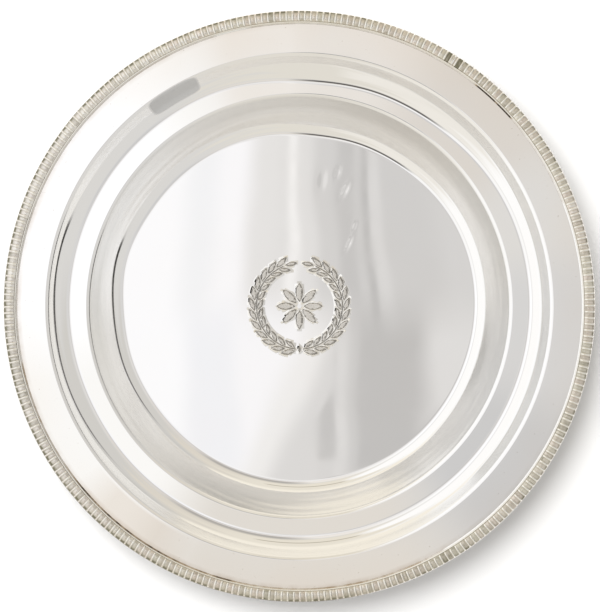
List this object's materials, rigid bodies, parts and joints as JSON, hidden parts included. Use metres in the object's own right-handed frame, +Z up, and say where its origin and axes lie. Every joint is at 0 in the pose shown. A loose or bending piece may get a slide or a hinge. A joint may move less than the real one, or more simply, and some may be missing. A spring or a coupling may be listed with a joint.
{
  "type": "salver",
  "caption": "Round stepped serving salver with an etched flat floor, two sloping walls around a narrow ledge, a broad plain brim and a milled border strip.",
  "frame": {"origin": "centre of the flat underside, where the salver stands", "axes": "+Z up out of the well, X and Y in the plane of the table; the butt joint of the border strip lies near 58 degrees from +X"},
  "size_m": [0.3058, 0.3058, 0.0263],
  "materials": {
    "silver_sheet": "polished silver plate with fine wipe marks",
    "milled_silver": "polished ribs with grey tarnish in the sunk panels",
    "silver_wire": "polished plain wire",
    "soft_solder": "dull tarnished soft solder"
  },
  "bodies": {
    "root": {"body_shell": "silver_sheet", "border_strip": "milled_silver", "bead_wire": "silver_wire", "edge_wire": "silver_wire", "solder_bed": "soft_solder", "joint_solder": "soft_solder"}
  },
  "joints": []
}
